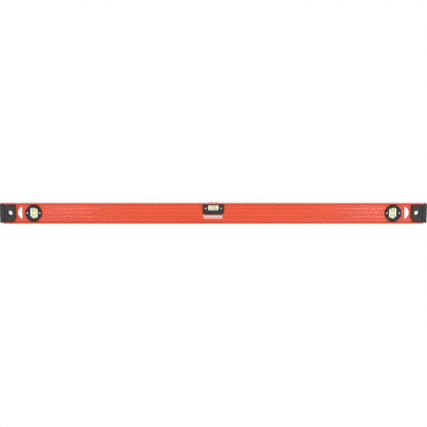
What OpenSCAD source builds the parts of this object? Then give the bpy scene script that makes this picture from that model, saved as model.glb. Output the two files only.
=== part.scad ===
// I-beam spirit level. It stands on its lower working face: X runs along the rail, the front faces -Y,
// Z is up, and the origin is the middle of the lower face.

/* [Rail] */
// Overall length, over the end caps
level_l = 1219.2; // [900:0.1:1830]
// Height from one working face to the other
rail_h = 60.3; // [59:0.1:64]
// Width of the flanges, front to back
flange_w = 25.4; // [24.5:0.1:30]
// Thickness of each flange
flange_t = 3.8; // [3:0.1:4.6]
// Thickness of the web
web_t = 2.6; // [2:0.1:3]
// Radius where the web meets a flange
root_r = 4.6; // [2:0.1:5]
// Radius of the beads along the web
bead_r = 1.2; // [0.8:0.1:1.5]
// Distance from one bead to the next
bead_pitch = 11.6; // [9:0.1:12]

/* [Slots and holes] */
// Flat side of the hand slot, from the end of the level
slot_from_end = 62.4; // [62:0.1:65]
// Depth of the hand slot, from its flat side to its crown
slot_depth = 12; // [11:0.1:14]
// Radius of the hand slot's crown
slot_r = 18.9; // [17:0.1:20]
// Radius of the hand slot's corners
slot_corner_r = 2; // [1:0.1:3]
// Radius of the hang hole
hang_r = 6.6; // [4:0.1:7]
// Centre of the hang hole, from the end of the level
hang_from_end = 28.9; // [28:0.1:32]

/* [End caps] */
// Thickness of the end plate
plate_t = 9.6; // [7:0.1:10]
// Gap from the end plate up to the level of a working face
plate_inset = 2.2; // [1:0.1:3]
// How far the plug reaches into the rail
plug_l = 35.4; // [34:0.1:38]
// Radius of the plug's inner corners
plug_r = 9; // [8:0.5:14]
// Legs of the slant that takes off the plug's lower inner corner
plug_slant = 11; // [8:0.5:13]
// Depth of the relief groove across the plug
relief_d = 3; // [1:0.1:4]

/* [Plumb modules] */
// Centre of each plumb module, from the end of the level
plumb_from_end = 96; // [93:0.1:110]
// Radius of the housing's rim
rim_r = 23.2; // [22.8:0.1:24.4]
// Radius of the housing's spigot in the web
spigot_r = 20.4; // [20:0.1:21]
// Width of the window
plumb_window_w = 23.2; // [20:0.1:24]
// Height of the window, over its arched ends
plumb_window_h = 31; // [28:0.1:32]
// Distance from the middle to each screw
plumb_screw_x = 17.6; // [17.4:0.1:17.8]

/* [Level module] */
// Width of the housing
level_housing_w = 60.4; // [60:0.1:64]
// Lower edge of the housing, above the lower working face
level_housing_low = 26.3; // [24.5:0.1:28]
// Radius of the housing's lower corners
level_housing_r = 9; // [6:0.5:10]
// Width of the window
level_window_w = 30.2; // [28:0.1:32]
// Lower edge of the window, above the lower working face
level_window_low = 36.6; // [36:0.1:38]
// Upper edge of the window, above the lower working face
level_window_high = 53.3; // [52.6:0.1:53.5]
// Distance from the middle to each screw
level_screw_x = 22.4; // [22.2:0.1:22.8]
// Height of the screws above the lower working face
level_screw_z = 43.6; // [42:0.1:45]
// Height of the vial's axis above the lower working face
level_vial_z = 45.7; // [45:0.1:46.5]
// Length of the top-read window in the upper flange
top_window_l = 30; // [26:0.1:31]
// Width of the top-read window in the upper flange
top_window_w = 9; // [8:0.1:15]

/* [Vials] */
// Radius of the vial
vial_r = 6.2; // [6:0.05:6.2]
// Length of a plumb vial
plumb_vial_l = 36; // [35:0.1:36]
// Length of the level vial
level_vial_l = 38; // [37:0.1:38]
// Radius of the bore at the middle of the vial
bore_r = 5; // [4.6:0.05:5]
// Radius of the barrel curve along the bore
barrel_r = 420; // [400:10:800]
// Distance from the middle of the vial to each gauge ring
gauge_x = 6.4; // [6:0.1:7]
// Length of the bubbles
bubble_l = 11; // [10:0.1:11.5]

/* [Hidden] */
$fn = 96;
SIDES = [["left", -1], ["right", 1]];
PLUMB_PIECES = ["front_housing", "rear_housing", "front_lens", "rear_lens", "vial", "vial_plug",
    "gauge_rings", "spirit", "bubble", "screws"];

rail_l = level_l - 2 * plate_t;
mid_z = rail_h / 2;
web_y = web_t / 2;
under_flange = rail_h - flange_t;
edge_r = 0.6;          // rounding of the flange edges
bead_sink = 0.3;       // from the face of the web in to a bead's centre
fit = 0.05;            // gap between pieces that seat on each other
through = 40;          // longer than any hole is deep

slot_span = sqrt(pow(slot_r - slot_corner_r, 2) - pow(slot_r - slot_depth + slot_corner_r, 2));
slot_flat_x = slot_r - slot_depth;

plate_w = flange_w - 2;
plate_round = 3.5;
plug_face = 11.2;      // from the middle of the web to the plug's face
plug_bevel = 1.2;
plug_foot_r = 1.4;
relief_w = 4;
relief_from_end = 14.4;
pan_depth = 0.7;       // shallow panel inside the plug's rim
pan_rim = 3.4;
pan_bevel = 0.4;
collar_w = 3;          // collar round the hang hole
collar_drop = 0.1;     // from the plug's face to the collar's
flare = 1.8;           // how much wider the hang hole is at its mouths
flare_d = 4.2;         // depth of each flared mouth
cap_gap = 0.1;
cap_slack = 0.2;       // between the collars of a cap's two halves, which meet in the web

face_d = 10.6;         // from the middle of the web to a housing's face
skin_t = 3.4;          // thickness of a housing's face
rim_bevel = 1.2;
aperture_gap = 0.1;
lens_t = 1.5;
ledge_t = 1.3;         // thickness of the ledge that a lens lies on
window_bevel = 0.5;
plumb_ledge_w = 1.2;
level_ledge_w = 0.7;
chamber_w = 26.8;
chamber_h = 30;
chamber_r = 17.4;

level_spigot_x = 25.8;
level_spigot_low = 31;
level_spigot_r = 2;
level_top = under_flange - fit;
level_chamber_x = 16.2;
level_chamber_low = 35.4;
level_chamber_high = 54.3;
level_housing_top_r = 1.5;

closed_end_t = 2.5;
plug_t = 3;
plug_nose = 0.6;       // how far the plug's outer edge draws in
plug_lead = 2;         // how much wider than the bore its cone starts
ring_w = 0.5;
ring_depth = 0.35;
vial_chamfer = 0.5;
bubble_gap = 0.35;     // from a bubble to everything round it
plumb_bubble_r = 3.8;
plumb_bore_top = plumb_vial_l / 2 - plug_t;
plumb_bore_low = -plumb_vial_l / 2 + closed_end_t;
plumb_bubble_top = plumb_bore_top - bubble_gap;
level_bubble_r = bore_r - 0.6;
level_bubble_drop = 1.1;   // lowest point of the level bubble, below the vial's axis

screw_head_r = 2.7;
screw_head_h = 1.5;
screw_dome_r = 5;
counterbore_r = 3;
counterbore_d = 1.5;
shank_r = 1.45;
clearance_r = 1.6;
screw_l = 15.5;        // under the head
recess_w = 0.7;
recess_l = 2.9;
recess_d = 1;

// ---------------------------------------------------------------- shapes that repeat

// A rectangle with round corners, centred.
module round_rect(w, h, r) {
    square([w, h - 2 * r], center = true);
    square([w - 2 * r, h], center = true);
    for (x = [-1, 1], y = [-1, 1])
        translate([x * (w / 2 - r), y * (h / 2 - r)]) circle(r);
}

// A block with a bevelled upper edge and round corners: x from -w / 2 to w / 2, y from 0 to h, z from 0 to t.
module bevelled_block(w, h, low_r, high_r, t, bevel) {
    module run(l, a, b, low_bevel, high_bevel) {
        rotate([90, 0, 90]) linear_extrude(l, center = true)
            polygon([[a, 0], [b, 0], [b, t - high_bevel], [b - high_bevel, t], [a + low_bevel, t],
                [a, t - low_bevel]]);
    }
    module corner(r) {
        cylinder(r = r, h = t - bevel);
        translate([0, 0, t - bevel]) cylinder(r1 = r, r2 = r - bevel, h = bevel);
    }
    run(w - 2 * low_r, 0, h, bevel, bevel);
    run(w - 2 * high_r, low_r, h, 0, bevel);
    translate([0, (h + low_r - high_r) / 2, 0]) rotate([0, 0, 90])
        run(h - low_r - high_r, -w / 2, w / 2, bevel, bevel);
    for (side = [-1, 1]) {
        translate([side * (w / 2 - low_r), low_r, 0]) corner(low_r);
        translate([side * (w / 2 - high_r), h - high_r, 0]) corner(high_r);
    }
}

// Turns a shape drawn face up into the front half of a module, its back on the middle of the web.
module facing_front() { rotate([90, 0, 0]) children(); }

// The same, for the rear half.
module facing_rear() { mirror([0, 1, 0]) facing_front() children(); }

// ---------------------------------------------------------------- rail

// Cross-section of the rail, gap larger all round: depth across, height up.
module rail_section(gap = 0) {
    for (z = [flange_t / 2, rail_h - flange_t / 2])
        translate([0, z]) round_rect(flange_w + 2 * gap, flange_t + 2 * gap, edge_r);
    translate([-web_y - gap, flange_t / 2]) square([web_t + 2 * gap, rail_h - flange_t]);
    for (front = [0, 1], top = [0, 1])
        translate([0, top * rail_h]) mirror([front, 0]) mirror([0, top])
            translate([web_y + gap, flange_t + gap]) difference() {
                square(root_r);
                translate([root_r, root_r]) circle(root_r);
            }
    for (z = [-1, 0, 1], y = [-1, 1])
        translate([y * (web_y - bead_sink), mid_z + z * bead_pitch]) circle(bead_r + gap);
}

module rail_bar(gap = 0) {
    rotate([90, 0, 90]) linear_extrude(rail_l, center = true) rail_section(gap);
}

// Hand slot's outline: flat side on x = 0, crown towards +x.
module slot_outline() {
    corner_x = slot_flat_x + slot_corner_r;
    reach = 2;         // carries the wedge's sides past the crown
    translate([-slot_flat_x, 0]) {
        translate([slot_flat_x, -slot_span]) square([slot_corner_r, 2 * slot_span]);
        intersection() {
            circle(slot_r);
            polygon([[corner_x, -slot_span], [reach * corner_x, -reach * slot_span],
                [2 * slot_r, -reach * slot_span], [2 * slot_r, reach * slot_span],
                [reach * corner_x, reach * slot_span], [corner_x, slot_span]]);
        }
        for (z = [-1, 1]) translate([corner_x, z * slot_span]) circle(slot_corner_r);
    }
}

module level_aperture(gap = 0) {
    high = rail_h - flange_t / 2;
    translate([0, (level_spigot_low + high) / 2])
        round_rect(2 * (level_spigot_x + gap), high - level_spigot_low + 2 * gap, level_spigot_r);
}

module rail() color("orangered") difference() {
    rail_bar();
    for (side = [-1, 1]) {
        translate([side * (level_l / 2 - slot_from_end), 0, mid_z]) rotate([90, 0, 0])
            mirror([side < 0 ? 1 : 0, 0, 0]) linear_extrude(through, center = true) slot_outline();
        translate([side * (level_l / 2 - hang_from_end), 0, mid_z]) rotate([90, 0, 0])
            cylinder(r = hang_r + collar_w + cap_gap, h = through, center = true);
        translate([side * (level_l / 2 - plumb_from_end), 0, mid_z]) rotate([90, 0, 0])
            cylinder(r = spigot_r + aperture_gap, h = through, center = true);
    }
    intersection() {
        rotate([90, 0, 0]) linear_extrude(through, center = true) level_aperture(aperture_gap);
        translate([-level_l, -flange_w, 0]) cube([2 * level_l, 2 * flange_w, under_flange]);
    }
    translate([0, 0, rail_h]) linear_extrude(2 * flange_t + 1, center = true)
        round_rect(top_window_l, top_window_w, level_spigot_r);
}

// ---------------------------------------------------------------- end caps

// The cap at the +X end. Its two collars snap into the web's hole, which locks it.
module end_cap() difference() {
    union() {
        difference() {
            union() {
                translate([rail_l / 2, 0, mid_z]) end_plate();
                for (rear = [0, 1]) mirror([0, rear, 0]) plug();
            }
            rail_bar(cap_gap);
        }
        at_hang_hole() translate([0, 0, cap_slack / 2])
            cylinder(r = hang_r + collar_w, h = plug_face - collar_drop - cap_slack / 2);
    }
    at_hang_hole() {
        translate([0, 0, -1]) cylinder(r = hang_r, h = through);
        translate([0, 0, plug_face - flare_d])
            cylinder(r1 = hang_r, r2 = hang_r + flare, h = flare_d);
    }
}

// Draws on both sides of the web, face outwards, about the hang hole.
module at_hang_hole() for (rear = [0, 1]) mirror([0, rear, 0])
    translate([level_l / 2 - hang_from_end, 0, mid_z]) rotate([90, 0, 0]) children();

// The plate over the rail's end, its outer edges round from every side.
module end_plate() {
    h = rail_h - 2 * plate_inset;
    intersection() {
        rotate([90, 0, 90]) linear_extrude(plate_t) round_rect(plate_w, h, plate_round);
        linear_extrude(h + 1, center = true) round_rect(2 * plate_t, plate_w, plate_round);
        rotate([90, 0, 0]) linear_extrude(plate_w + 1, center = true)
            round_rect(2 * plate_t, h, plate_round);
    }
}

// One half of the plug, in front of the web.
module plug() {
    h = under_flange - flange_t - 2 * cap_gap;
    w = plug_l + plug_foot_r + 1;
    relief_x = plate_t + plug_l - relief_from_end;
    pan_l = relief_x - relief_w / 2 - 2 * pan_rim;
    translate([rail_l / 2 - plug_l, 0, mid_z]) rotate([90, 0, 0]) difference() {
        rotate([0, 0, -90]) bevelled_block(h, w, plug_r, plug_foot_r, plug_face, plug_bevel);
        translate([0, -h / 2, 0]) below_slant(plug_slant, plug_bevel);
        difference() {
            translate([pan_rim, 0, plug_face - pan_depth]) rotate([0, 0, -90])
                bevelled_block(h - 2 * pan_rim, pan_l, plug_r - pan_rim, plug_foot_r, 2 * pan_depth, pan_bevel);
            translate([0, -h / 2, 0]) below_slant(plug_slant + sqrt(2) * pan_rim, 0);
        }
        translate([relief_x, 0, plug_face]) cube([relief_w, h + 2, 2 * relief_d], center = true);
    }
}

// What lies outside a slant across the corner at the origin, with a bevel along the plug's face.
module below_slant(leg, bevel) translate([leg / 2, leg / 2, 0]) rotate([90, 0, 45])
    linear_extrude(2 * leg, center = true) polygon([[-leg, -1], [0, -1], [0, plug_face - bevel],
        [bevel + 1, plug_face + 1], [-leg, plug_face + 1]]);

module end_cap_left() color("dimgray") mirror([1, 0, 0]) end_cap();
module end_cap_right() color("dimgray") end_cap();

// ---------------------------------------------------------------- screws

module screw_clearance(rear) {
    if (rear) {
        translate([0, 0, -1]) cylinder(r = shank_r, h = screw_l - face_d + counterbore_d + 2);
    } else {
        cylinder(r = clearance_r, h = face_d + 1);
        translate([0, 0, face_d - counterbore_d]) cylinder(r = counterbore_r, h = counterbore_d + 1);
    }
}

module screw() translate([0, 0, face_d - counterbore_d]) difference() {
    union() {
        intersection() {
            cylinder(r = screw_head_r, h = screw_head_h);
            translate([0, 0, screw_head_h - screw_dome_r]) sphere(screw_dome_r);
        }
        translate([0, 0, -screw_l]) cylinder(r = shank_r - 0.02, h = screw_l + 0.1);
    }
    for (a = [0, 90]) rotate([0, 0, a]) translate([0, 0, screw_head_h])
        cube([recess_l, recess_w, 2 * recess_d], center = true);
}

// ---------------------------------------------------------------- vials, drawn along Z about the middle

// The bore, which is widest at the middle, from one height to another.
module bore(low, high, gap = 0) {
    steps = 8;
    rotate_extrude() polygon(concat(
        [[0, low]],
        [for (i = [0 : steps]) let (z = low + (high - low) * i / steps)
            [bore_r - gap - z * z / (2 * barrel_r), z]],
        [[0, high]]
    ));
}

module vial(l) difference() {
    rotate_extrude() polygon([[0, -l / 2], [vial_r - vial_chamfer, -l / 2], [vial_r, -l / 2 + vial_chamfer],
        [vial_r, l / 2 - vial_chamfer], [vial_r - vial_chamfer, l / 2], [0, l / 2]]);
    bore(-l / 2 + closed_end_t, l / 2 + 1);
    for (side = [-1, 1]) translate([0, 0, side * gauge_x]) rotate_extrude()
        translate([vial_r - ring_depth, -ring_w / 2]) square([1, ring_w]);
}

module vial_plug(l) intersection() {
    bore(l / 2 - plug_t, l / 2, fit / 2);
    translate([0, 0, l / 2 - plug_t]) cylinder(r1 = bore_r + plug_lead, r2 = bore_r - plug_nose, h = plug_t);
}

module gauge_rings() for (side = [-1, 1]) translate([0, 0, side * gauge_x]) rotate_extrude()
    translate([vial_r - ring_depth, -ring_w / 2]) square([ring_depth, ring_w]);

// ---------------------------------------------------------------- plumb modules, drawn about their centre

module plumb_window(grow = 0) intersection() {
    circle(plumb_window_h / 2 + grow);
    square([plumb_window_w + 2 * grow, plumb_window_h + 2 * grow + 1], center = true);
}

// Opens the window's mouth towards the face.
module plumb_window_mouth() {
    grow = plumb_ledge_w;
    bevel = 2 * window_bevel;
    w = plumb_window_w / 2 + grow;
    h = plumb_window_h / 2 + grow;
    translate([0, 0, face_d - window_bevel]) intersection() {
        cylinder(r1 = h, r2 = h + bevel, h = bevel);
        rotate([90, 0, 0]) linear_extrude(3 * h, center = true)
            polygon([[-w, 0], [w, 0], [w + bevel, bevel], [-w - bevel, bevel]]);
    }
}

module plumb_housing(rear) difference() {
    union() {
        cylinder(r = rim_r, h = face_d - rim_bevel);
        translate([0, 0, face_d - rim_bevel])
            cylinder(r1 = rim_r, r2 = rim_r - rim_bevel, h = rim_bevel);
    }
    // room for the web and its beads, outside the aperture
    difference() {
        translate([0, -mid_z, 0]) rotate([-90, 0, 0]) rail_bar(fit);
        cylinder(r = spigot_r, h = through, center = true);
    }
    translate([0, 0, -1]) linear_extrude(face_d - skin_t + 1) intersection() {
        circle(chamber_r);
        square([chamber_w, chamber_h], center = true);
    }
    linear_extrude(through) plumb_window();
    translate([0, 0, face_d - skin_t + ledge_t]) linear_extrude(through) plumb_window(plumb_ledge_w);
    plumb_window_mouth();
    rotate([90, 0, 0]) cylinder(r = vial_r + fit, h = plumb_vial_l + 2 * fit, center = true);
    for (side = [-1, 1]) translate([side * plumb_screw_x, 0, 0]) screw_clearance(rear);
}

module plumb_lens() translate([0, 0, face_d - skin_t + ledge_t]) linear_extrude(lens_t)
    plumb_window(plumb_ledge_w - fit);

// Leaves the bubble's whole path free.
module plumb_spirit() difference() {
    bore(plumb_bore_low, plumb_bore_top, fit / 2);
    cylinder(r = plumb_bubble_r + bubble_gap, h = plumb_vial_l + 1, center = true);
}

module plumb_bubble() translate([0, 0, plumb_bubble_top]) {
    for (z = [plumb_bubble_r, bubble_l - plumb_bubble_r]) translate([0, 0, -z]) sphere(plumb_bubble_r);
    translate([0, 0, -bubble_l + plumb_bubble_r]) cylinder(r = plumb_bubble_r, h = bubble_l - 2 * plumb_bubble_r);
}

module plumb_screws() for (side = [-1, 1]) translate([side * plumb_screw_x, 0, 0]) screw();

// ---------------------------------------------------------------- level module, drawn at its real height

module level_window(grow = 0) {
    h = level_window_high - level_window_low;
    translate([0, level_window_low + h / 2])
        round_rect(level_window_w + 2 * grow, h + 2 * grow, 1 + grow);
}

module level_housing(rear) difference() {
    translate([0, level_housing_low, 0])
        bevelled_block(level_housing_w, level_top - level_housing_low, level_housing_r, level_housing_top_r,
            face_d, rim_bevel);
    difference() {
        rotate([-90, 0, 0]) rail_bar(fit);
        translate([0, 0, -1]) linear_extrude(through) level_aperture();
    }
    translate([0, 0, -1]) linear_extrude(face_d - skin_t + 1)
        translate([-level_chamber_x, level_chamber_low])
            square([2 * level_chamber_x, level_chamber_high - level_chamber_low]);
    translate([-top_window_l / 2, level_vial_z, -1]) cube([top_window_l, rail_h, top_window_w / 2 + 1]);
    linear_extrude(through) level_window();
    translate([0, 0, face_d - skin_t + ledge_t]) linear_extrude(through) level_window(level_ledge_w);
    translate([0, level_vial_z, 0]) rotate([0, 90, 0])
        cylinder(r = vial_r + fit, h = level_vial_l + 2 * fit, center = true);
    for (side = [-1, 1]) translate([side * level_screw_x, level_screw_z, 0]) screw_clearance(rear);
}

module level_lens() translate([0, 0, face_d - skin_t + ledge_t]) linear_extrude(lens_t)
    level_window(level_ledge_w - fit);

// Turns what is drawn along Z into the level vial's place, its top side up.
module at_level_vial() translate([0, 0, level_vial_z]) rotate([0, 90, 0]) children();

module level_spirit() difference() {
    bore(-level_vial_l / 2 + closed_end_t, level_vial_l / 2 - plug_t, fit / 2);
    translate([-bore_r - 1, -bore_r, -level_vial_l / 2])
        cube([bore_r + 1 + level_bubble_drop + bubble_gap, 2 * bore_r, level_vial_l]);
}

// Follows the bore above, and is curved like a lens below.
module level_bubble() {
    a = bubble_l / 2;
    top = level_bubble_r;
    belly_r = (pow(top + level_bubble_drop, 2) + a * a) / (2 * (top + level_bubble_drop));
    translate([0, 0, level_vial_z]) intersection() {
        rotate([0, 90, 0]) cylinder(r = level_bubble_r, h = through, center = true);
        translate([0, 0, belly_r - level_bubble_drop]) rotate([90, 0, 0])
            cylinder(r = belly_r, h = through, center = true);
    }
}

module level_screws() for (side = [-1, 1]) translate([side * level_screw_x, level_screw_z, 0]) screw();

// ---------------------------------------------------------------- what is drawn

// One piece of a plumb module, by name, about the module's centre.
module plumb_piece(piece) {
    if (piece == "front_housing") color("darkslategray") facing_front() plumb_housing(false);
    if (piece == "rear_housing") color("darkslategray") facing_rear() plumb_housing(true);
    if (piece == "front_lens") color("white", 0.3) facing_front() plumb_lens();
    if (piece == "rear_lens") color("white", 0.3) facing_rear() plumb_lens();
    if (piece == "vial") color("lightcyan", 0.5) vial(plumb_vial_l);
    if (piece == "vial_plug") color("whitesmoke") vial_plug(plumb_vial_l);
    if (piece == "gauge_rings") color("black") gauge_rings();
    if (piece == "spirit") color("greenyellow", 0.6) plumb_spirit();
    if (piece == "bubble") color("white", 0.5) plumb_bubble();
    if (piece == "screws") color("silver") facing_front() plumb_screws();
}

// One piece of the level module, by name, in its place.
module level_piece(piece) {
    if (piece == "front_housing") color("darkslategray") facing_front() level_housing(false);
    if (piece == "rear_housing") color("darkslategray") facing_rear() level_housing(true);
    if (piece == "front_lens") color("white", 0.3) facing_front() level_lens();
    if (piece == "rear_lens") color("white", 0.3) facing_rear() level_lens();
    if (piece == "vial") color("lightcyan", 0.5) at_level_vial() vial(level_vial_l);
    if (piece == "vial_plug") color("whitesmoke") at_level_vial() vial_plug(level_vial_l);
    if (piece == "gauge_rings") color("black") at_level_vial() gauge_rings();
    if (piece == "spirit") color("greenyellow", 0.6) at_level_vial() level_spirit();
    if (piece == "bubble") color("white", 0.5) level_bubble();
    if (piece == "screws") color("silver") facing_front() level_screws();
}

rail();
end_cap_left();
end_cap_right();
for (side = SIDES) for (piece = PLUMB_PIECES)
    translate([side[1] * (level_l / 2 - plumb_from_end), 0, mid_z]) plumb_piece(piece);
for (piece = PLUMB_PIECES)
    level_piece(piece);
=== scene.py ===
"""Looks of an I-beam spirit level: finishes, screws, spirit, bubbles, a printed scale, and a stage."""

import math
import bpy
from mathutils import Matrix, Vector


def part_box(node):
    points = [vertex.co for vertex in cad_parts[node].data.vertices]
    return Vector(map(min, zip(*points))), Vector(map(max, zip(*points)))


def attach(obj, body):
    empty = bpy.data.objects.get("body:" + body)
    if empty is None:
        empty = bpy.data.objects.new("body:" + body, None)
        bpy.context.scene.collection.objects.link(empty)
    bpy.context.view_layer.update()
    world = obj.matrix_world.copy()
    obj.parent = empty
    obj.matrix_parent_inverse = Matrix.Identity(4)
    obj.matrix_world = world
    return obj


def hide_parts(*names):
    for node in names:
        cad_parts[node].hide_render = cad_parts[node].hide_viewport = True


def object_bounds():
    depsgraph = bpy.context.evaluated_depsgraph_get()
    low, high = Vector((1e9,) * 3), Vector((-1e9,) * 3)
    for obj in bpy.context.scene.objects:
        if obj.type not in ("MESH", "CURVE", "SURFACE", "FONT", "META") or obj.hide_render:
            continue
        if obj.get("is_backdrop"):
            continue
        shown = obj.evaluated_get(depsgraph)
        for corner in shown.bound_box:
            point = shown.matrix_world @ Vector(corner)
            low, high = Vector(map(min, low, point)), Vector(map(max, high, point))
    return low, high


bl_info = {
    "name": "Spirit Level",
    "version": (1, 0, 0),
    "blender": (4, 5, 0),
    "location": "3D View > Sidebar > Spirit Level",
    "description": "Finishes and small pieces of an I-beam spirit level, on a pale stage",
    "category": "Object",
}

import bpy
from mathutils import Matrix, Vector

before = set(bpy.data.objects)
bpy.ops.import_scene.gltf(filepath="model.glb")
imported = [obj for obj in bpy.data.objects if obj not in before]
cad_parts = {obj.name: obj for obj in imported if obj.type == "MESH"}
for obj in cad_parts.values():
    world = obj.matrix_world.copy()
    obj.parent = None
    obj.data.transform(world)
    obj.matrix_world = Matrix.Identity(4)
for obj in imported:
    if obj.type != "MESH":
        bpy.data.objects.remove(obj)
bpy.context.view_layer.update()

MM = 0.001
HAIR = 0.001 * MM
BODY = "level"
MODULES = ("plumb_left", "plumb_right", "level")
RAIL_LOW, RAIL_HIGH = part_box("rail")
MID_Z = (RAIL_LOW.z + RAIL_HIGH.z) / 2
# A plumb bubble is this much wider than its solid, and flatter below.
PLUMB_SWELL = 1.1
PLUMB_BELLY = 0.9


def linear(hex_colour):
    """The linear RGBA of an sRGB hex colour."""
    shares = [int(hex_colour[i : i + 2], 16) / 255 for i in (1, 3, 5)]
    return tuple(s / 12.92 if s <= 0.04045 else ((s + 0.055) / 1.055) ** 2.4 for s in shares) + (1.0,)


WHITE = linear("#FFFFFF")


def colour(name, description, hex_colour):
    return bpy.props.FloatVectorProperty(
        name=name, description=description, subtype="COLOR", size=4, min=0, max=1, default=linear(hex_colour)
    )


def length(name, description, millimetres):
    return bpy.props.FloatProperty(
        name=name, description=description, unit="LENGTH", subtype="DISTANCE", default=millimetres * MM
    )


class LevelFinishes(bpy.types.PropertyGroup):
    """Colours of the finishes"""

    enamel: colour("Enamel", "Baked enamel on the rail", "#DB420E")
    bare: colour("Milled faces", "Bare aluminium of the working faces", "#E3DADA")
    cap: colour("End caps", "Moulded rubber of the end caps", "#2C2C2D")
    housing: colour("Housings", "Moulded ABS of the vial housings", "#0E1112")
    vial: colour("Vials", "Acrylic of the vials", "#FEFFFA")
    spirit: colour("Spirit", "Dyed spirit in the vials", "#F9FDA8")
    zinc: colour("Screws", "Zinc plate of the screws", "#9C9AA0")
    ink: colour("Print", "Printed scale under the level module", "#F0E2DA")
    ring: colour("Gauge rings", "Black ink of the rings round each vial", "#0B0B0C")


class LevelSizes(bpy.types.PropertyGroup):
    """Sizes of the pieces modelled here"""

    head: length("Screw head", "Height of a screw's head", 1.5)
    dome: length("Screw dome", "Height of the dome on a screw's head", 0.6)
    recess: length("Drive recess", "Length of each arm of a screw's cross recess", 1.6)
    recess_depth: length("Recess depth", "Depth of a screw's cross recess", 1.6)
    shank: length("Screw shank", "Radius of a screw's shank", 1.45)
    thread_pitch: length("Thread pitch", "Distance from one thread of a screw to the next", 1.1)
    barrel: length("Barrel radius", "Radius of the curve along a vial's bore", 420)
    wetting: length("Wetting", "How far the spirit reaches into the wall that it wets", 0.04)
    first_tick: length("First tick", "Place along the rail of the printed scale's first tick", -26.7)
    ticks: bpy.props.IntProperty(name="Ticks", description="Number of ticks in each row", default=18)
    tick_pitch: length("Tick pitch", "Distance from one tick of the printed scale to the next", 3)
    tick: length("Tick width", "Width of one tick of the printed scale", 1.5)
    stripe_foot: length("Stripe foot", "Height of the printed stripe's lower edge on the rail", 18.3)
    stripe: length("Stripe", "Height of the printed stripe between the two rows of ticks", 2.4)
    rise: length("Upper ticks", "Length of the ticks above the stripe", 3.6)
    drop: length("Lower ticks", "Length of the ticks below the stripe", 5.4)
    long_drop: length("Long ticks", "Length of every fifth tick below the stripe", 6.4)
    film: length("Ink film", "Thickness of the printed ink", 0.04)


class LevelStage(bpy.types.PropertyGroup):
    """Camera and light"""

    distance: bpy.props.FloatProperty(
        name="Camera distance", description="From the level's middle", unit="LENGTH", default=2.6
    )
    elevation: bpy.props.FloatProperty(
        name="Camera elevation", description="Above the horizon", subtype="ANGLE", default=math.radians(8.4)
    )
    aim: length("Aim", "Height above the floor that the camera looks at", 28.1)
    sky: bpy.props.FloatProperty(name="Sky", description="Light that the surroundings shed", default=0.12)
    sweep: bpy.props.FloatProperty(name="Sweep", description="Glow of the floor and backdrop", default=1)
    key: bpy.props.FloatProperty(
        name="Key light", description="Power of the wide softbox above the camera", subtype="POWER", default=4
    )
    left_strip: bpy.props.FloatProperty(
        name="Left strip", description="Power of the tall softbox on the left", subtype="POWER", default=25
    )
    right_strip: bpy.props.FloatProperty(
        name="Right strip", description="Power of the tall softbox on the right", subtype="POWER", default=38
    )


# ------------------------------------------------------------------ modelling


def deselect():
    """Leaves edit mode, with nothing selected, so that the next primitive is alone."""
    if bpy.context.object and bpy.context.object.mode != "OBJECT":
        bpy.ops.object.mode_set(mode="OBJECT")
    bpy.ops.object.select_all(action="DESELECT")


def pick(*pieces):
    """Selects these pieces alone; the first is the active one."""
    deselect()
    for piece in pieces:
        piece.select_set(True)
    bpy.context.view_layer.objects.active = pieces[0]


def edit(piece):
    """Opens the piece in edit mode with nothing selected."""
    pick(piece)
    bpy.ops.object.mode_set(mode="EDIT")
    bpy.ops.mesh.select_all(action="DESELECT")


def choose(piece, kind, test):
    """Selects the faces whose middle and normal pass the test, or the vertices whose place does."""
    bpy.ops.mesh.select_all(action="DESELECT")
    bpy.ops.mesh.select_mode(type=kind)
    bpy.ops.object.mode_set(mode="OBJECT")
    if kind == "FACE":
        for face in piece.data.polygons:
            face.select = test(face.center, face.normal)
    else:
        for vertex in piece.data.vertices:
            vertex.select = test(vertex.co)
    bpy.ops.object.mode_set(mode="EDIT")


def close(piece):
    """Merges doubles, turns every face outwards and leaves edit mode."""
    bpy.ops.mesh.select_mode(type="VERT")
    bpy.ops.mesh.select_all(action="SELECT")
    bpy.ops.mesh.remove_doubles(threshold=2 * HAIR)
    bpy.ops.mesh.normals_make_consistent(inside=False)
    bpy.ops.object.mode_set(mode="OBJECT")


def apply_modifiers(piece):
    pick(piece)
    for modifier in list(piece.modifiers):
        bpy.ops.object.modifier_apply(modifier=modifier.name)


def copy_of(piece, matrix):
    """A copy with its own mesh, placed by the matrix."""
    twin = piece.copy()
    twin.data = piece.data.copy()
    bpy.context.scene.collection.objects.link(twin)
    twin.data.transform(matrix)
    return twin


def join(pieces):
    """Joins the pieces into the first of them."""
    pick(*pieces)
    bpy.ops.object.join()
    return pieces[0]


def finish_piece(piece, name, material, body, slot, *nodes, crease=30):
    """Names, smooths and paints a new piece, and puts it on its body in place of the nodes."""
    piece.name = piece.data.name = name
    pick(piece)
    bpy.ops.object.transform_apply(location=True, rotation=True, scale=True)
    bpy.ops.object.shade_smooth_by_angle(angle=math.radians(crease))
    piece.data.materials.clear()
    piece.data.materials.append(material)
    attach(piece, body)
    if nodes:
        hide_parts(*nodes)


def middle(node):
    low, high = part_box(node)
    return (low + high) / 2


# ------------------------------------------------------------------ materials


def feed(tree, node, inputs):
    """Sets a node's inputs, or links them where an output is given."""
    for name, value in inputs.items():
        if isinstance(value, bpy.types.NodeSocket):
            tree.links.new(value, node.inputs[name])
        else:
            node.inputs[name].default_value = value


def add(tree, kind, inputs, **settings):
    """Adds a node with its settings and its inputs, and gives its first output."""
    node = tree.nodes.new(kind)
    for name, value in settings.items():
        setattr(node, name, value)
    feed(tree, node, inputs)
    return next(output for output in node.outputs if output.enabled)


def new_material(name):
    """A material with one Principled shader: the material, its node tree and the shader."""
    material = bpy.data.materials.new(name)
    material.use_nodes = True
    tree = material.node_tree
    return material, tree, tree.nodes["Principled BSDF"]


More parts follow.
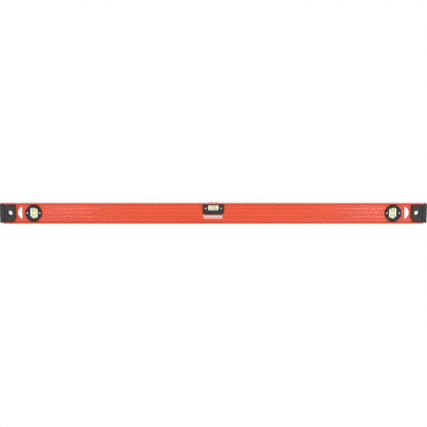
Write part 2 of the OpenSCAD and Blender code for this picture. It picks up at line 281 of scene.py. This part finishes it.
def places(tree, x, y, z):
    """Object coordinates that count x, y and z millimetres as one."""
    here = tree.nodes.new("ShaderNodeTexCoord").outputs["Object"]
    counts = (1 / (x * MM), 1 / (y * MM), 1 / (z * MM))
    return add(tree, "ShaderNodeMapping", {"Vector": here, "Scale": counts})


def repaint(material, *nodes):
    """Gives CAD nodes their finish."""
    for node in nodes:
        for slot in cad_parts[node].material_slots:
            slot.material = material


def enamel_over_aluminium(finishes):
    """Enamel sprayed on extruded aluminium and baked: an even, half-gloss skin with a faint orange peel over
    the die's lines. The working faces are milled after painting, which leaves bare metal with fine marks
    across the rail."""
    material, tree, shader = new_material("baked_enamel_on_extruded_aluminium")
    # How far a place is above or below the middle of the web tells its milled faces and its roots.
    here = tree.nodes.new("ShaderNodeTexCoord").outputs["Object"]
    parts = tree.nodes.new("ShaderNodeSeparateXYZ")
    feed(tree, parts, {"Vector": here})
    above = add(tree, "ShaderNodeMath", {0: parts.outputs["Z"], 1: MID_Z}, operation="SUBTRACT")
    away = add(tree, "ShaderNodeMath", {0: above}, operation="ABSOLUTE")
    cut, root, edge = 0.12 * MM, 20.2 * MM, 22 * MM
    milled = add(tree, "ShaderNodeMath", {0: away, 1: RAIL_HIGH.z - MID_Z - cut}, operation="GREATER_THAN")

    # Orange peel a few millimetres from crest to crest, the die's lines, coarser than real ones so that they
    # show, and slow drifts of the spray.
    peel = add(tree, "ShaderNodeTexNoise", {"Vector": places(tree, 2.5, 2.5, 2.5), "Scale": 1, "Detail": 1})
    lines = add(tree, "ShaderNodeTexNoise", {"Vector": places(tree, 300, 1.1, 1.1), "Scale": 1, "Detail": 3})
    drift = add(tree, "ShaderNodeTexNoise", {"Vector": places(tree, 70, 40, 40), "Scale": 1, "Detail": 3})
    # Marks of the cutter, about one tooth's feed apart.
    marks = add(tree, "ShaderNodeTexNoise", {"Vector": places(tree, 0.6, 25, 25), "Scale": 1, "Detail": 2})

    shade = add(tree, "ShaderNodeMapRange", {"Value": drift, "From Min": 0.3, "From Max": 0.7, "To Min": 0.95,
                                             "To Max": 1.04})
    paint = add(tree, "ShaderNodeHueSaturation", {"Color": finishes.enamel, "Value": shade})
    shine = add(tree, "ShaderNodeMapRange", {"Value": marks, "From Min": 0.3, "From Max": 0.7, "To Min": 0.84,
                                             "To Max": 1.02})
    metal = add(tree, "ShaderNodeHueSaturation", {"Color": finishes.bare, "Value": shine})
    # The spray arrives half dry in the roots of the flanges, which dulls it there.
    gloss = add(tree, "ShaderNodeMapRange", {"Value": drift, "To Min": 0.14, "To Max": 0.18})
    dry = add(tree, "ShaderNodeMapRange", {"Value": away, "From Min": root, "From Max": edge, "To Max": 0.35})
    relief = add(tree, "ShaderNodeMath", {0: peel, 1: lines}, operation="ADD")
    height = add(tree, "ShaderNodeMix", {0: milled, 2: relief, 3: marks})
    # The die's lines run along the rail, so they scatter light across it.
    across = add(tree, "ShaderNodeCombineXYZ", {"Y": 0.3, "Z": 1})
    feed(tree, shader, {
        "Base Color": add(tree, "ShaderNodeMix", {0: milled, 6: paint, 7: metal}, data_type="RGBA"),
        "Metallic": milled,
        "Roughness": add(tree, "ShaderNodeMath", {0: gloss, 1: dry}, operation="ADD"),
        "Specular IOR Level": 0.72,
        "Anisotropic": 0.76,
        "Tangent": across,
        "Normal": add(tree, "ShaderNodeBump", {"Height": height, "Strength": 0.25, "Distance": 0.02 * MM}),
    })
    return material


def moulded_plastic(name, base, grain_mm, rough, bump_mm):
    """Near-black plastic moulded in a spark-eroded tool: an even grain, greyer on its crests, under a slow
    cloud of darker and paler flow. A real grain is finer, and this one is as coarse as it needs to show."""
    material, tree, shader = new_material(name)
    grain = add(tree, "ShaderNodeTexNoise", {"Vector": places(tree, grain_mm, grain_mm, grain_mm), "Scale": 1,
                                             "Detail": 3})
    cloud = add(tree, "ShaderNodeTexNoise", {"Vector": places(tree, 18, 18, 18), "Scale": 1, "Detail": 3})
    both = add(tree, "ShaderNodeMath", {0: grain, 1: cloud}, operation="ADD")
    tone = add(tree, "ShaderNodeMapRange", {"Value": both, "From Min": 0.7, "From Max": 1.3, "To Min": 0.8,
                                            "To Max": 1.25})
    feed(tree, shader, {
        "Base Color": add(tree, "ShaderNodeHueSaturation", {"Color": base, "Value": tone}),
        "Roughness": add(tree, "ShaderNodeMapRange", {"Value": cloud, "To Min": rough - 0.08,
                                                      "To Max": rough + 0.1}),
        "Specular IOR Level": 0.33,
        "Normal": add(tree, "ShaderNodeBump", {"Height": grain, "Strength": 0.6, "Distance": bump_mm * MM}),
    })
    return material


def clear_pane():
    """Polycarbonate pressed into a flat pane: what is behind shows unbent, and the faces mirror a little,
    more at a slant. A faint haze from handling greys it."""
    material, tree, shader = new_material("clear_polycarbonate_pane")
    haze = add(tree, "ShaderNodeTexNoise", {"Vector": places(tree, 9, 9, 9), "Scale": 1, "Detail": 4})
    feed(tree, shader, {
        "Base Color": linear("#E9EBEF"),
        "IOR": 1.58,
        "Roughness": 0.05,
        "Alpha": add(tree, "ShaderNodeMapRange", {"Value": haze, "From Min": 0.3, "From Max": 0.7,
                                                  "To Min": 0.01, "To Max": 0.025}),
    })
    return material


def vial_acrylic(base):
    """Cast and turned acrylic, polished: clear, with a faint yellow tint in its wall."""
    material, tree, shader = new_material("polished_cast_acrylic")
    swirl = add(tree, "ShaderNodeTexNoise", {"Vector": places(tree, 2, 2, 12), "Scale": 1, "Detail": 2})
    tint = add(tree, "ShaderNodeMapRange", {"Value": swirl, "To Min": 0.97, "To Max": 1.0})
    feed(tree, shader, {
        "Base Color": add(tree, "ShaderNodeHueSaturation", {"Color": base, "Value": tint}),
        "Transmission Weight": 1.0,
        "IOR": 1.49,
        "Roughness": 0.02,
    })
    return material


def dyed_spirit(base):
    """Mineral spirit dyed yellow-green: clear, slightly deeper where the dye drifts, and painted paler towards
    its rim by the angle of view.
    """
    material, tree, shader = new_material("dyed_mineral_spirit")
    drift = add(tree, "ShaderNodeTexNoise", {"Vector": places(tree, 8, 8, 8), "Scale": 1, "Detail": 1})
    depth = add(tree, "ShaderNodeMapRange", {"Value": drift, "To Min": 0.98, "To Max": 1.06})
    dye = add(tree, "ShaderNodeHueSaturation", {"Color": base, "Saturation": depth})
    # Painted light: the colour pales towards white where the surface turns from the eye. This stands in for
    # light that crosses the round filling near its edge and meets the least dye.
    edge = tree.nodes.new("ShaderNodeLayerWeight")
    edge.inputs["Blend"].default_value = 0.5
    slant = edge.outputs["Facing"]
    pale = add(tree, "ShaderNodeMapRange", {"Value": slant, "From Min": 0.02, "From Max": 0.2, "To Max": 0.95})
    feed(tree, shader, {
        "Base Color": add(tree, "ShaderNodeMix", {0: pale, 6: dye, 7: WHITE}, data_type="RGBA"),
        "Transmission Weight": 1.0,
        "IOR": 1.43,
        "Roughness": 0.0,
    })
    return material


def trapped_air():
    """Air in spirit: light passes its middle and turns back into the spirit near its edge. That dark rim is
    painted shade, mixed into the colour by the angle of view.
    """
    material, tree, shader = new_material("air_bubble")
    edge = tree.nodes.new("ShaderNodeLayerWeight")
    edge.inputs["Blend"].default_value = 0.35
    slant = edge.outputs["Facing"]
    feed(tree, shader, {
        # Painted shade: white where the bubble faces the eye, darkening to a dull green towards its rim.
        "Base Color": add(tree, "ShaderNodeMix", {0: slant, 6: WHITE, 7: linear("#56603A")}, data_type="RGBA"),
        "Transmission Weight": 1.0,
        "IOR": 1.12,
        "Roughness": 0.0,
    })
    return material


def plug_plastic():
    """Natural polypropylene, moulded and pressed into the vial: milky white and waxy."""
    material, tree, shader = new_material("natural_polypropylene")
    cloud = add(tree, "ShaderNodeTexNoise", {"Vector": places(tree, 3, 3, 3), "Scale": 1, "Detail": 2})
    tone = add(tree, "ShaderNodeMapRange", {"Value": cloud, "To Min": 0.92, "To Max": 1.02})
    feed(tree, shader, {
        "Base Color": add(tree, "ShaderNodeHueSaturation", {"Color": linear("#ECEBE2"), "Value": tone}),
        "Roughness": 0.45,
        "Subsurface Weight": 0.2,
        "Subsurface Radius": (1.5 * MM, 1.5 * MM, 1.5 * MM),
    })
    return material


def ring_ink(base):
    """Ink rolled into a groove: black and satin, a little thin in places."""
    material, tree, shader = new_material("rolled_ink")
    cloud = add(tree, "ShaderNodeTexNoise", {"Vector": places(tree, 1, 1, 1), "Scale": 1, "Detail": 3})
    tone = add(tree, "ShaderNodeMapRange", {"Value": cloud, "To Min": 0.6, "To Max": 1.5})
    feed(tree, shader, {
        "Base Color": add(tree, "ShaderNodeHueSaturation", {"Color": base, "Value": tone}),
        "Roughness": 0.4,
    })
    return material


def zinc_plate(base):
    """Zinc plated on a cold-headed steel screw: bright grey, slightly mottled by its passivation."""
    material, tree, shader = new_material("zinc_plated_steel")
    mottle = add(tree, "ShaderNodeTexNoise", {"Vector": places(tree, 0.8, 0.8, 0.8), "Scale": 1, "Detail": 3})
    tone = add(tree, "ShaderNodeMapRange", {"Value": mottle, "From Min": 0.3, "From Max": 0.7, "To Min": 0.85,
                                            "To Max": 1.05})
    feed(tree, shader, {
        "Base Color": add(tree, "ShaderNodeHueSaturation", {"Color": base, "Value": tone}),
        "Metallic": 1.0,
        "Roughness": add(tree, "ShaderNodeMapRange", {"Value": mottle, "To Min": 0.25, "To Max": 0.45}),
        "Normal": add(tree, "ShaderNodeBump", {"Height": mottle, "Strength": 0.3, "Distance": 0.01 * MM}),
    })
    return material


def printing_ink(base):
    """Pad-printed ink: flat and pale, and the red below shows a little where it is thin."""
    material, tree, shader = new_material("pad_printed_ink")
    cover = add(tree, "ShaderNodeTexNoise", {"Vector": places(tree, 0.7, 0.7, 0.7), "Scale": 1, "Detail": 3})
    thin = add(tree, "ShaderNodeMapRange", {"Value": cover, "From Min": 0.35, "From Max": 0.65,
                                            "To Min": 0.25, "To Max": 0.05})
    feed(tree, shader, {
        "Base Color": add(tree, "ShaderNodeMix", {0: thin, 6: base, 7: linear("#E58A72")}, data_type="RGBA"),
        "Roughness": 0.5,
    })
    return material


# ------------------------------------------------------------------ operators


class FinishRail(bpy.types.Operator):
    """Give the rail its baked enamel and its milled working faces"""

    bl_idname = "spirit_level.finish_rail"
    bl_label = "Finish the rail"

    def execute(self, context):
        repaint(enamel_over_aluminium(context.scene.level_finishes), "rail")
        return {"FINISHED"}


class FinishCaps(bpy.types.Operator):
    """Give the end caps their moulded rubber"""

    bl_idname = "spirit_level.finish_caps"
    bl_label = "Finish the end caps"

    def execute(self, context):
        rubber = moulded_plastic("moulded_rubber", context.scene.level_finishes.cap, 0.9, 0.6, 0.06)
        repaint(rubber, "end_cap_left", "end_cap_right")
        return {"FINISHED"}


class FinishModules(bpy.types.Operator):
    """Give the vial modules their housings, panes, vials, plugs and gauge rings"""

    bl_idname = "spirit_level.finish_modules"
    bl_label = "Finish the vial modules"

    def execute(self, context):
        finishes = context.scene.level_finishes
        abs_plastic = moulded_plastic("moulded_abs", finishes.housing, 0.5, 0.42, 0.03)
        for material, pieces in (
            (abs_plastic, ("front_housing", "rear_housing")),
            (clear_pane(), ("front_lens", "rear_lens")),
            (vial_acrylic(finishes.vial), ("vial",)),
            (plug_plastic(), ("vial_plug",)),
            (ring_ink(finishes.ring), ("gauge_rings",)),
        ):
            repaint(material, *[f"{module}_{piece}" for module in MODULES for piece in pieces])
        return {"FINISHED"}


class FillVials(bpy.types.Operator):
    """Model the spirit that fills each vial, and the bubble in it"""

    bl_idname = "spirit_level.fill_vials"
    bl_label = "Fill the vials"

    def column(self, node, sizes):
        """The spirit in a bore along Z, about the origin: a barrel, narrower towards its ends."""
        low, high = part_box(node)
        spans = sorted(high - low)
        long, radius = spans[2], spans[1] / 2 + sizes.wetting
        deselect()
        bpy.ops.mesh.primitive_cylinder_add(vertices=64, radius=radius, depth=long)
        spirit = bpy.context.object
        edit(spirit)
        steps = 8
        levels = [long * (i / steps - 0.5) for i in range(steps + 1)]
        for z in levels[1:-1]:
            bpy.ops.mesh.select_all(action="SELECT")
            bpy.ops.mesh.bisect(plane_co=(0, 0, z), plane_no=(0, 0, 1))
        for z in levels:
            taper = (radius - z * z / (2 * sizes.barrel)) / radius
            choose(spirit, "VERT", lambda co: abs(co.z - z) < 10 * HAIR)
            bpy.ops.transform.resize(value=(taper, taper, 1), center_override=(0, 0, 0))
        close(spirit)
        return spirit

    def bubble(self, reach, belly):
        """A bubble round the origin that reaches this far along X, Y and Z, and belly times as far down."""
        deselect()
        bpy.ops.mesh.primitive_uv_sphere_add(segments=48, ring_count=32, radius=1)
        bubble = bpy.context.object
        edit(bubble)
        bpy.ops.mesh.select_all(action="SELECT")
        bpy.ops.transform.resize(value=reach, center_override=(0, 0, 0))
        choose(bubble, "VERT", lambda co: co.z < -HAIR)
        bpy.ops.transform.resize(value=(1, 1, belly), center_override=(0, 0, 0))
        close(bubble)
        return bubble

    def execute(self, context):
        sizes = context.scene.level_sizes
        finishes = context.scene.level_finishes
        spirit_look = dyed_spirit(finishes.spirit)
        air = trapped_air()
        for module in MODULES:
            spirit = self.column(f"{module}_spirit", sizes)
            low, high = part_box(f"{module}_bubble")
            size = (high - low) / 2
            if module == "level":
                # It floats near the top of the bore, deeper above the vial's axis than below it.
                axis = middle("level_vial")
                top = high.z - axis.z
                bubble = self.bubble((size.x, size.y, top), (axis.z - low.z) / top)
                bubble.data.transform(Matrix.Translation(axis))
                spirit.data.transform(Matrix.Rotation(math.radians(90), 4, "Y"))
                spirit.data.transform(Matrix.Translation(Vector((0, 0, axis.z))))
            else:
                bubble = self.bubble((size.x * PLUMB_SWELL, size.y * PLUMB_SWELL, size.z), PLUMB_BELLY)
                bubble.data.transform(Matrix.Translation(middle(f"{module}_bubble")))
                spirit.data.transform(Matrix.Translation(middle(f"{module}_spirit")))
            finish_piece(spirit, f"{module}_spirit_fill", spirit_look, BODY, "spirit", f"{module}_spirit")
            finish_piece(bubble, f"{module}_bubble_air", air, f"{module}_bubble", "bubble", f"{module}_bubble")
        return {"FINISHED"}


class ModelScrews(bpy.types.Operator):
    """Model the cross-head screws that clamp each module's halves"""

    bl_idname = "spirit_level.model_screws"
    bl_label = "Model the screws"

    def screw(self, head_r, long, sizes):
        """A screw that points down Z, the top of its dome at the origin, with a shank this long."""
        head = sizes.head
        deselect()
        bpy.ops.mesh.primitive_cylinder_add(vertices=48, radius=head_r, depth=head, location=(0, 0, -head / 2))
        screw = bpy.context.object
        bpy.ops.object.transform_apply(location=True)
        edit(screw)
        # The dome: rings that step inwards, each sunk by the square of its radius.
        rings = 4
        step = head_r / (rings + 1.5)
        choose(screw, "FACE", lambda centre, normal: normal.z > 0.9)
        for i in range(rings):
            bpy.ops.mesh.inset(thickness=step, depth=0)
        for i in range(rings + 1):
            ring_r = head_r - i * step
            choose(screw, "VERT", lambda co: co.z > -HAIR and abs(co.xy.length - ring_r) < 0.2 * step)
            bpy.ops.transform.translate(value=(0, 0, -sizes.dome * (ring_r / head_r) ** 2))
        # The core of the shank and its point, as long as the shank is wide.
        point = 2 * sizes.shank
        choose(screw, "FACE", lambda centre, normal: normal.z < -0.9)
        bpy.ops.mesh.inset(thickness=head_r - 0.8 * sizes.shank)
        for down in (long - point, point):
            bpy.ops.mesh.extrude_region_move(TRANSFORM_OT_translate={"value": (0, 0, -down)})
        bpy.ops.transform.resize(value=(0.1, 0.1, 1), center_override=(0, 0, -head - long))
        close(screw)
        self.cut_recess(screw, sizes)
        return join([screw, self.thread(long, sizes)])

    def cut_recess(self, screw, sizes):
        """Cuts a cross whose arms lean inwards as they go down, turned as a driven screw ends up."""
        driven = math.radians(20)
        for turn in (driven, driven + math.radians(90)):
            deselect()
            bpy.ops.mesh.primitive_cube_add(size=1)
            arm = bpy.context.object
            arm.scale = (2 * sizes.recess, 0.34 * sizes.recess, 2 * sizes.recess_depth)
            bpy.ops.object.transform_apply(scale=True)
            edit(arm)
            choose(arm, "VERT", lambda co: co.z < 0)
            bpy.ops.transform.resize(value=(0.35, 0.7, 1), center_override=(0, 0, 0))
            close(arm)
            arm.data.transform(Matrix.Rotation(turn, 4, "Z"))
            cut = screw.modifiers.new("recess", "BOOLEAN")
            cut.operation = "DIFFERENCE"
            cut.solver = "EXACT"
            cut.object = arm
            apply_modifiers(screw)
            bpy.data.objects.remove(arm, do_unlink=True)

    def thread(self, long, sizes):
        """The thread: a triangle wound round the shank from its point up towards the head."""
        deselect()
        bpy.ops.mesh.primitive_circle_add(vertices=3, radius=0.3 * sizes.thread_pitch)
        thread = bpy.context.object
        # Stood upright, with a corner outwards.
        thread.data.transform(Matrix.Rotation(math.radians(90), 4, "X"))
        thread.data.transform(Matrix.Rotation(math.radians(30), 4, "Y"))
        start = Vector((0.88 * sizes.shank, 0, -sizes.head - long + 2 * sizes.shank))
        thread.data.transform(Matrix.Translation(start))
        wind = thread.modifiers.new("wind", "SCREW")
        wind.screw_offset = sizes.thread_pitch
        wind.iterations = int((long - 3 * sizes.shank) / sizes.thread_pitch)
        wind.steps = wind.render_steps = 20
        wind.use_smooth_shade = False
        apply_modifiers(thread)
        edit(thread)
        bpy.ops.mesh.select_mode(type="EDGE")
        bpy.ops.mesh.select_non_manifold()
        bpy.ops.mesh.edge_face_add()
        close(thread)
        return thread

    def execute(self, context):
        sizes = context.scene.level_sizes
        look = zinc_plate(context.scene.level_finishes.zinc)
        low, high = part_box("level_screws")
        face_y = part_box("level_front_housing")[0].y
        head_r = (high.z - low.z) / 2
        first = self.screw(head_r, high.y - face_y - sizes.head, sizes)
        facing = Matrix.Rotation(math.radians(90), 4, "X")
        for module in MODULES:
            low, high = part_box(f"{module}_screws")
            ends = (low.x + head_r, high.x - head_r)
            height = (low.z + high.z) / 2
            pair = [copy_of(first, Matrix.Translation((x, face_y, height)) @ facing) for x in ends]
            finish_piece(join(pair), f"{module}_housing_screws", look, BODY, "screw_zinc", f"{module}_screws",
                         crease=40)
        bpy.data.objects.remove(first, do_unlink=True)
        return {"FINISHED"}


class PrintScale(bpy.types.Operator):
    """Print a plain scale of ticks on the web under the level module"""

    bl_idname = "spirit_level.print_scale"
    bl_label = "Print the scale"

    def band(self, left, right, low, high):
        """A flat band in front of the web, in rows 0.2 mm high that can bend over a bead."""
        rows = round((high - low) / (0.2 * MM))
        deselect()
        bpy.ops.mesh.primitive_grid_add(x_subdivisions=1, y_subdivisions=rows, size=1)
        band = bpy.context.object
        band.scale = (right - left, high - low, 1)
        band.rotation_euler.x = math.radians(90)
        band.location = ((left + right) / 2, RAIL_LOW.y, (low + high) / 2)
        bpy.ops.object.transform_apply(location=True, rotation=True, scale=True)
        return band

    def execute(self, context):
        sizes = context.scene.level_sizes
        # Ticks hang from the stripe, every fifth one longer, and shorter ones stand on it.
        foot, top = sizes.stripe_foot, sizes.stripe_foot + sizes.stripe
        ticks = [sizes.first_tick + i * sizes.tick_pitch for i in range(sizes.ticks)]
        bands = [self.band(ticks[0] - sizes.tick, ticks[-1] + sizes.tick, foot, top)]
        for i, tick in enumerate(ticks):
            left, right = tick - sizes.tick / 2, tick + sizes.tick / 2
            drop = sizes.long_drop if i % 5 == 2 else sizes.drop
            bands.append(self.band(left, right, foot - drop, foot))
            bands.append(self.band(left, right, top, top + sizes.rise))
        scale = join(bands)
        wrap = scale.modifiers.new("wrap", "SHRINKWRAP")
        wrap.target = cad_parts["rail"]
        wrap.wrap_method = "PROJECT"
        wrap.use_project_y = True
        wrap.offset = sizes.film
        film = scale.modifiers.new("film", "SOLIDIFY")
        film.thickness = sizes.film
        film.offset = 0
        apply_modifiers(scale)
        look = printing_ink(context.scene.level_finishes.ink)
        finish_piece(scale, "printed_scale", look, BODY, "rail_enamel")
        return {"FINISHED"}


class SetStage(bpy.types.Operator):
    """Set the glowing sweep, the white surroundings, the softboxes and the camera"""

    bl_idname = "spirit_level.set_stage"
    bl_label = "Set the stage"

    def softbox(self, name, place, size, power, aim):
        """A rectangular light this wide and high, turned to the level."""
        bpy.ops.object.light_add(type="AREA", location=place)
        lamp = bpy.context.object
        lamp.name = name
        lamp.data.shape = "RECTANGLE"
        lamp.data.size, lamp.data.size_y = size
        lamp.data.energy = power
        lamp.rotation_euler = (aim - lamp.location).to_track_quat("-Z", "Y").to_euler()

    def execute(self, context):
        stage = context.scene.level_stage
        # The floor lies just under the level, and the backdrop stands behind it.
        wide, gap, behind, upright = 30, 0.1 * MM, 2.5, math.radians(90)
        deselect()
        bpy.ops.mesh.primitive_plane_add(size=wide, location=(0, 0, -gap))
        floor = context.object
        bpy.ops.mesh.primitive_plane_add(size=wide, location=(0, behind, 0), rotation=(upright, 0, 0))
        sweep = join([context.object, floor])
        sweep.name = "white_sweep"
        material, tree, shader = new_material("glowing_sweep")
        feed(tree, shader, {
            "Base Color": linear("#000000"),
            "Specular IOR Level": 0.0,
            "Emission Color": WHITE,
            "Emission Strength": stage.sweep,
        })
        sweep.data.materials.clear()
        sweep.data.materials.append(material)
        sweep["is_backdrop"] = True

        world = bpy.data.worlds.new("white_surroundings")
        world.use_nodes = True
        # White to the eye, through the vials and in every mirrored ray, but a weak light.
        tree = world.node_tree
        diffuse = tree.nodes.new("ShaderNodeLightPath").outputs["Is Diffuse Ray"]
        feed(tree, tree.nodes["Background"], {
            "Color": WHITE,
            "Strength": add(tree, "ShaderNodeMapRange", {"Value": diffuse, "To Min": stage.sweep,
                                                         "To Max": stage.sky}),
        })
        context.scene.world = world

        aim = Vector((0.4 * MM, 0, stage.aim))
        eye = aim + stage.distance * Vector((0, -math.cos(stage.elevation), math.sin(stage.elevation)))
        # The wide one shades the web under the upper flange. The tall ones light it, and draw the highlights
        # that the beads have towards each end.
        height, wide_box, tall_box = 1.15, (3, 0.35), (0.22, 2.2)
        self.softbox("key_softbox", (0, -2.5, height), wide_box, stage.key, aim)
        for side, x, power in (("left", -0.86, stage.left_strip), ("right", 0.92, stage.right_strip)):
            self.softbox(f"{side}_strip_softbox", (x, eye.y, height), tall_box, power, aim)

        bpy.ops.object.camera_add(location=eye)
        camera = context.object
        camera.rotation_euler = (aim - eye).to_track_quat("-Z", "Y").to_euler()
        # The level's ends just reach the picture's edges.
        low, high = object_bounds()
        front = stage.distance + low[1] * math.cos(stage.elevation)
        fill = 1.0015
        camera.data.lens = fill * camera.data.sensor_width * front / (high[0] - low[0])
        context.scene.camera = camera
        context.scene.view_settings.view_transform = "Standard"
        return {"FINISHED"}


OPERATORS = (FinishRail, FinishCaps, FinishModules, FillVials, ModelScrews, PrintScale, SetStage)
GROUPS = {"level_finishes": LevelFinishes, "level_sizes": LevelSizes, "level_stage": LevelStage}


class SpiritLevelPanel(bpy.types.Panel):
    """Sizes, colours and steps of the spirit level"""

    bl_label = "Spirit Level"
    bl_idname = "VIEW3D_PT_spirit_level"
    bl_space_type = "VIEW_3D"
    bl_region_type = "UI"
    bl_category = "Spirit Level"

    def draw(self, context):
        for name, group in GROUPS.items():
            column = self.layout.column()
            for field in group.__annotations__:
                column.prop(getattr(context.scene, name), field)
        for operator in OPERATORS:
            self.layout.operator(operator.bl_idname)


def register():
    for kind in (*GROUPS.values(), *OPERATORS, SpiritLevelPanel):
        bpy.utils.register_class(kind)
    for name, group in GROUPS.items():
        setattr(bpy.types.Scene, name, bpy.props.PointerProperty(type=group))


def unregister():
    for name in GROUPS:
        delattr(bpy.types.Scene, name)
    for kind in (SpiritLevelPanel, *reversed(OPERATORS), *reversed(GROUPS.values())):
        bpy.utils.unregister_class(kind)


def main():
    register()
    bpy.ops.spirit_level.finish_rail()
    bpy.ops.spirit_level.finish_caps()
    bpy.ops.spirit_level.finish_modules()
    bpy.ops.spirit_level.fill_vials()
    bpy.ops.spirit_level.model_screws()
    bpy.ops.spirit_level.print_scale()
    bpy.ops.spirit_level.set_stage()


if __name__ == "__main__":
    main()
